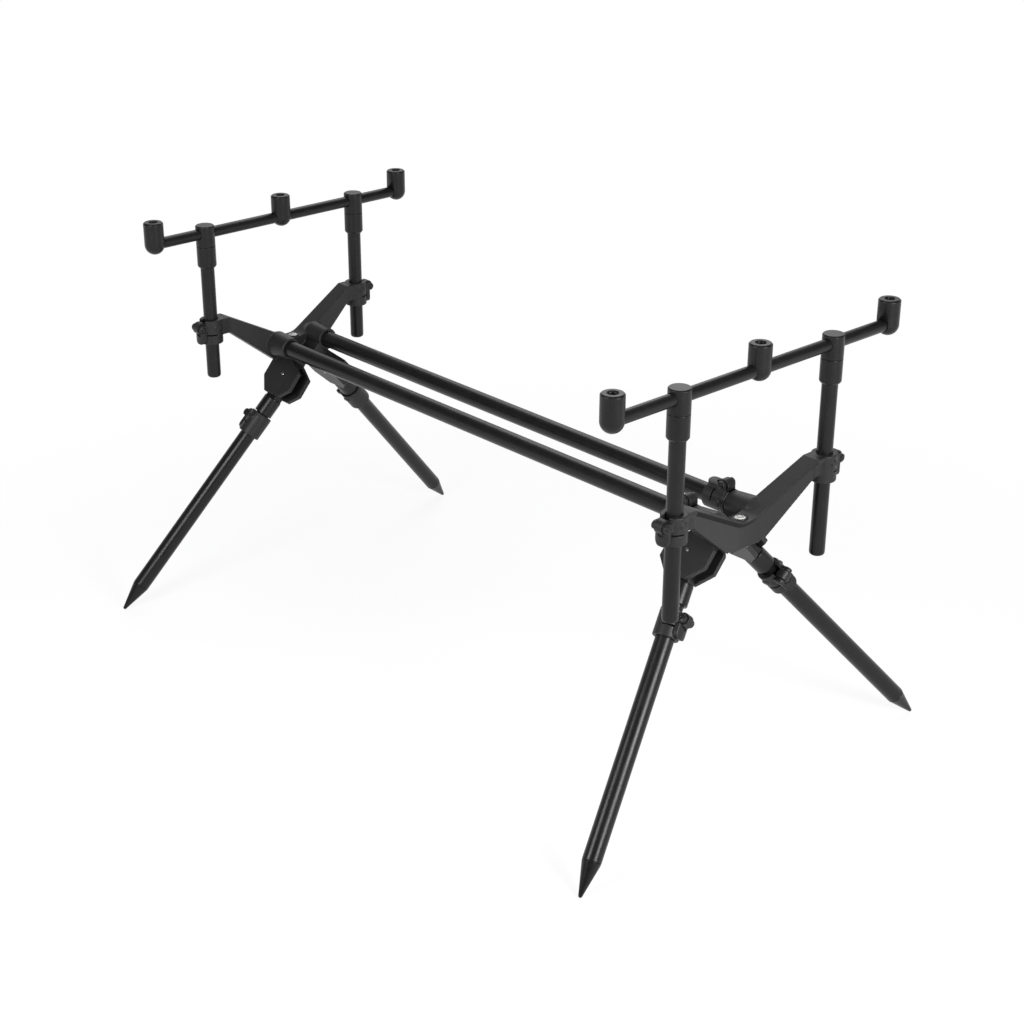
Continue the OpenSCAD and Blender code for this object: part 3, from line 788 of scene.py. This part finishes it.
def makePosts(end):
    headLow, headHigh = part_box(f"{end}_tee_heads")
    sleeveLow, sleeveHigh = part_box(f"{end}_sleeves")
    postLow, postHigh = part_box(f"{end}_posts")
    rowX = (headLow.x + headHigh.x) / 2
    for side, sign in zip(sides, (-1, 1)):
        spot = Vector((rowX, sign * (headHigh.y - headShape["radius"]), 0))
        matrix = frameAlong(spot, upward)
        radius, seam = headShape["radius"], headShape["seam"]
        outline = rounded([
            (0, headLow.z, 0), (radius - seam, headLow.z, 0),
            (radius, headLow.z + seam, headShape["fillet"]),
            (radius, headHigh.z - headShape["topChamfer"], headShape["fillet"]),
            (radius - headShape["topChamfer"], headHigh.z, headShape["fillet"]), (0, headHigh.z, 0),
        ])
        made = turned(bmesh.new(), outline, matrix)
        piece = finishMesh(f"{end}_post_head_{side}", made, f"{end}_tee_heads", anodised(upward, True))
        reach = radius * 2
        cut(piece, barHole(end, spot.y - reach, spot.y + reach))
        bore = postShape["radius"] + sleeveShape["gap"]
        outline = rounded([
            (bore, sleeveLow.z, 0), (radius - sleeveShape["lowInset"], sleeveLow.z, sleeveShape["fillet"]),
            (radius, sleeveLow.z + sleeveShape["lowChamfer"], sleeveShape["shoulderFillet"]),
            (radius, sleeveHigh.z - seam, sleeveShape["fillet"]), (radius - seam, sleeveHigh.z, 0),
            (bore, sleeveHigh.z, 0),
        ], loop=True)
        made = turned(bmesh.new(), outline, matrix, loop=True)
        finishMesh(f"{end}_post_sleeve_{side}", made, f"{end}_sleeves", anodised(upward, True))
        outline = rounded([
            (0, postLow.z, 0), (postShape["radius"], postLow.z, postShape["lowFillet"]),
            (postShape["radius"], postHigh.z, tubeShape["fillet"]), (0, postHigh.z, 0),
        ], steps=6)
        made = turned(bmesh.new(), outline, matrix, segments=tubeShape["segments"])
        finishMesh(f"{end}_post_{side}", made, f"{end}_posts", anodised(upward))


for end in ends:
    makeSockets(end)
    makePosts(end)
print("rest bars done")

# Pins
hingePinShape = {
    "radius": 0.0020, "chamfer": 0.0006, "endFillet": 0.0002, "sideFillet": 0.0003, "near": 0.003,
}
leverPinShape = {
    "radius": 0.0020, "headRadius": 0.0034, "headHeight": 0.0008, "rimPart": 0.45, "crown": 0.0018,
    "crownFillet": 0.0004, "rimFillet": 0.0005, "dimple": 0.0012, "dimpleDepth": 0.0003, "fillet": 0.0001,
    "near": 0.0125,
}
pinSegments = 40


def makeHingePin(end, side):
    leg = f"{end}_{side}"
    spot, axis = pointOf("leg_fold_" + leg), axisOf("leg_fold_" + leg)
    node = f"{end}_hinge_pins"
    shape = hingePinShape
    offsets = [vertex.co - spot for vertex in frame["nodes"][node].data.vertices]
    half = max(abs(offset.dot(axis)) for offset in offsets
               if (offset - axis * offset.dot(axis)).length < shape["near"])
    radius, chamfer = shape["radius"], shape["chamfer"]
    outline = rounded([
        (0, -half, 0), (radius - chamfer, -half, shape["endFillet"]),
        (radius, chamfer - half, shape["sideFillet"]), (radius, half - chamfer, shape["sideFillet"]),
        (radius - chamfer, half, shape["endFillet"]), (0, half, 0),
    ])
    made = turned(bmesh.new(), outline, frameAlong(spot, axis), segments=pinSegments)
    finishMesh(f"{end}_hinge_pin_{side}", made, node, steel(axis))


def makeLeverPin(lever, node):
    joint = lever.replace("lever", "lever_turn")
    spot, axis = pointOf(joint), axisOf(joint)
    shape = leverPinShape
    offsets = [vertex.co - spot for vertex in frame["nodes"][node].data.vertices]
    half = max(abs(offset.dot(axis)) for offset in offsets if offset.length < shape["near"])
    low = half - shape["headHeight"]
    head, dimpleLow = shape["headRadius"], half - shape["dimpleDepth"]
    upper = [
        (shape["radius"], low, 0), (head, low, shape["fillet"]),
        (head, low + shape["rimPart"] * shape["headHeight"], shape["rimFillet"]),
        (shape["crown"], half, shape["crownFillet"]),
        (shape["dimple"], dimpleLow, shape["fillet"]), (0, dimpleLow, 0),
    ]
    corners = [(radius, -height, fillet) for radius, height, fillet in reversed(upper)] + upper
    made = turned(bmesh.new(), rounded(corners, steps=3), frameAlong(spot, axis), segments=pinSegments)
    finishMesh("pin_" + lever, made, node, anodised(axis, True))


for end in ends:
    for side in sides:
        makeHingePin(end, side)
        makeLeverPin(f"post_lever_{end}_{side}", "frame_lever_pins" if end == "far" else "near_lever_pins")
        makeLeverPin(f"leg_lever_{end}_{side}", f"leg_pin_{end}_{side}")
for side in sides:
    makeLeverPin("bar_lever_" + side, "frame_lever_pins")
print("pins done")

# Round levels: a pale puck, a domed lens, a marked ring and a bubble
levelShape = {
    "dome": 0.0012, "edge": 0.0008, "fillet": 0.0004, "lensPart": 0.80,
    "ringRadius": 0.0026, "ringWire": 0.00020, "bubbleRadius": 0.0016, "bubbleRise": 0.0002,
    "bubbleSink": 0.0004, "capSteps": 12, "segments": 48,
}


# spherical cap from a radius to the middle
def capOutline(radius, top, rise):
    ball = (radius ** 2 + rise ** 2) / (2 * rise)
    bend = math.asin(min(1, radius / ball))
    steps = levelShape["capSteps"]
    return [(ball * math.sin(turn), top - ball + ball * math.cos(turn))
            for turn in (bend * (1 - step / steps) for step in range(steps + 1))]


def makeLevel(end):
    shape = levelShape
    node = f"{end}_level"
    low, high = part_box(node)
    spot = (low + high) / 2
    radius = (high.x - low.x) / 2
    lens = (radius - shape["edge"]) * shape["lensPart"]
    matrix = frameAlong(Vector((spot.x, spot.y, 0)), upward)
    cap = capOutline(radius - shape["edge"], high.z, shape["dome"])
    rim = [corner for corner in cap if corner[0] > lens]
    base = rim[-1][1] - shape["fillet"]
    outline = rounded([
        (0, low.z, 0), (radius, low.z, shape["fillet"]),
        (radius, high.z - shape["dome"] - shape["edge"], shape["fillet"]),
        *((*corner, 0) for corner in rim), (lens, base, 0), (0, base, 0),
    ])
    finishMesh(f"{end}_level_puck", turned(bmesh.new(), outline, matrix), node, vialFinish("rim"))
    dome = [corner for corner in cap if corner[0] < lens]
    made = turned(bmesh.new(), [(0, base), (dome[0][0], base), *dome], matrix)
    finishMesh(f"{end}_level_lens", made, node, vialFinish("lens"), False)
    wire = shape["ringWire"]
    ringZ = high.z - shape["dome"] * (shape["ringRadius"] / (radius - shape["edge"])) ** 2
    ring = [(shape["ringRadius"] + wire * math.cos(turn), ringZ + wire * math.sin(turn))
            for turn in (math.radians(step) for step in range(0, 360, 45))]
    made = turned(bmesh.new(), ring, matrix, loop=True, segments=shape["segments"])
    finishMesh(f"{end}_level_mark", made, node, moulded("leverNylon", leverLook), False)
    bubble = capOutline(shape["bubbleRadius"], high.z + shape["bubbleRise"], shape["bubbleRise"] * 2)
    under = high.z - shape["bubbleSink"]
    outline = [(0, under), (bubble[0][0], under), *bubble]
    made = turned(bmesh.new(), outline, matrix, segments=shape["segments"])
    finishMesh(f"{end}_level_bubble", made, node, vialFinish("lens"), False)


for end in ends:
    makeLevel(end)
print("levels done")

# Stage: floor, world and lamps
stageLook = {
    "floorSize": 40.0, "floorPale": 0.95, "floorShade": 0.985, "shadeScale": 1.5,
    "floorGlow": 0.84, "glowFrom": 0.35, "glowTo": 1.0,
    "skyStops": [(0.0, 0.8), (0.12, 0.26), (0.3, 0.15), (0.6, 0.10)],
    "backdropWay": (-0.735, 0.678, 0), "backdropFrom": 0.2, "backdropTo": 0.75, "backdropRise": 0.60,
}
lampLook = {
    "overhead": {"size": 2.8, "power": 20, "place": (0.1, 0.0, 2.9), "aim": (0, 0, 0.2)},
    "rightBox": {"size": 0.52, "power": 22, "place": (1.50, -0.11, 0.74), "aim": (0.2, 0, 0.2)},
    "backBox": {"size": 1.4, "power": 14, "place": (-1.2, 1.2, 1.9), "aim": (0, 0, 0.3)},
    "leftBox": {"size": 0.45, "power": 10, "place": (0.08, -1.13, 0.78), "aim": (0, 0, 0.2)},
}


def makeFloor():
    look = stageLook
    half = look["floorSize"] / 2
    corners = [(-half, -half, 0), (half, -half, 0), (half, half, 0), (-half, half, 0)]
    data = bpy.data.meshes.new("floor")
    data.from_pydata(corners, [], [(0, 1, 2, 3)])
    floor = link("floor", data)
    material, shader = newMaterial("paleFloor")
    shade = shader.noise(shader.objectPoint(), look["shadeScale"], 2)
    pale = look["floorPale"]
    paper = shader.node("ShaderNodeBsdfDiffuse", {}, {
        "Color": shader.blendColor(shade, grey(pale), grey(pale * look["floorShade"])),
    })
    glow = shader.node("ShaderNodeEmission", {}, {"Color": (1, 1, 1, 1), "Strength": 1.0})
    # camera, glossy and transmission rays
    rays = [shader.node("ShaderNodeLightPath", output=index) for index in (0, 3, 6)]
    seen = shader.node("ShaderNodeMath", {"operation": "MINIMUM"}, {0: rays[0] + rays[1] + rays[2], 1: 1.0})
    reach = shader.vector("LENGTH", shader.objectPoint(), (0, 0, 0), 1)
    share = shader.node("ShaderNodeMapRange", {"interpolation_type": "SMOOTHSTEP"}, {
        0: reach, 1: look["glowFrom"], 2: look["glowTo"], 3: look["floorGlow"], 4: 1.0,
    })
    both = shader.node("ShaderNodeMixShader", {}, {0: seen * share, 1: paper, 2: glow})
    shader.node("ShaderNodeOutputMaterial", {}, {"Surface": both})
    floor.data.materials.append(material)


def makeWorld():
    look = stageLook
    world = bpy.data.worlds.new("studio")
    world.use_nodes = True
    scene.world = world
    shader = Shader(world.node_tree)
    direction = shader.node("ShaderNodeTexCoord", output=0)
    height = shader.node("ShaderNodeSeparateXYZ", {}, {0: direction}, 2)
    behind = shader.vector("DOT_PRODUCT", direction, look["backdropWay"], 1)
    rise = shader.node("ShaderNodeMapRange", {"interpolation_type": "SMOOTHSTEP"}, {
        0: behind, 1: look["backdropFrom"], 2: look["backdropTo"], 3: 0.0, 4: look["backdropRise"],
    })
    sky = shader.ramp(height - rise, look["skyStops"])
    air = shader.node("ShaderNodeBackground", {}, {"Color": sky, "Strength": 1.0})
    shader.node("ShaderNodeOutputWorld", {}, {"Surface": air})


def makeLamps():
    for name, look in lampLook.items():
        lamp = bpy.data.lights.new(name, "AREA")
        lamp.shape = "SQUARE"
        lamp.size = look["size"]
        lamp.energy = look["power"]
        holder = bpy.data.objects.new(name, lamp)
        holder.location = look["place"]
        holder.rotation_mode = "QUATERNION"
        holder.rotation_quaternion = (Vector(look["aim"]) - Vector(look["place"])).to_track_quat("-Z", "Y")
        holder.visible_camera = False
        scene.collection.objects.link(holder)


makeFloor()
makeWorld()
makeLamps()
print("stage done")
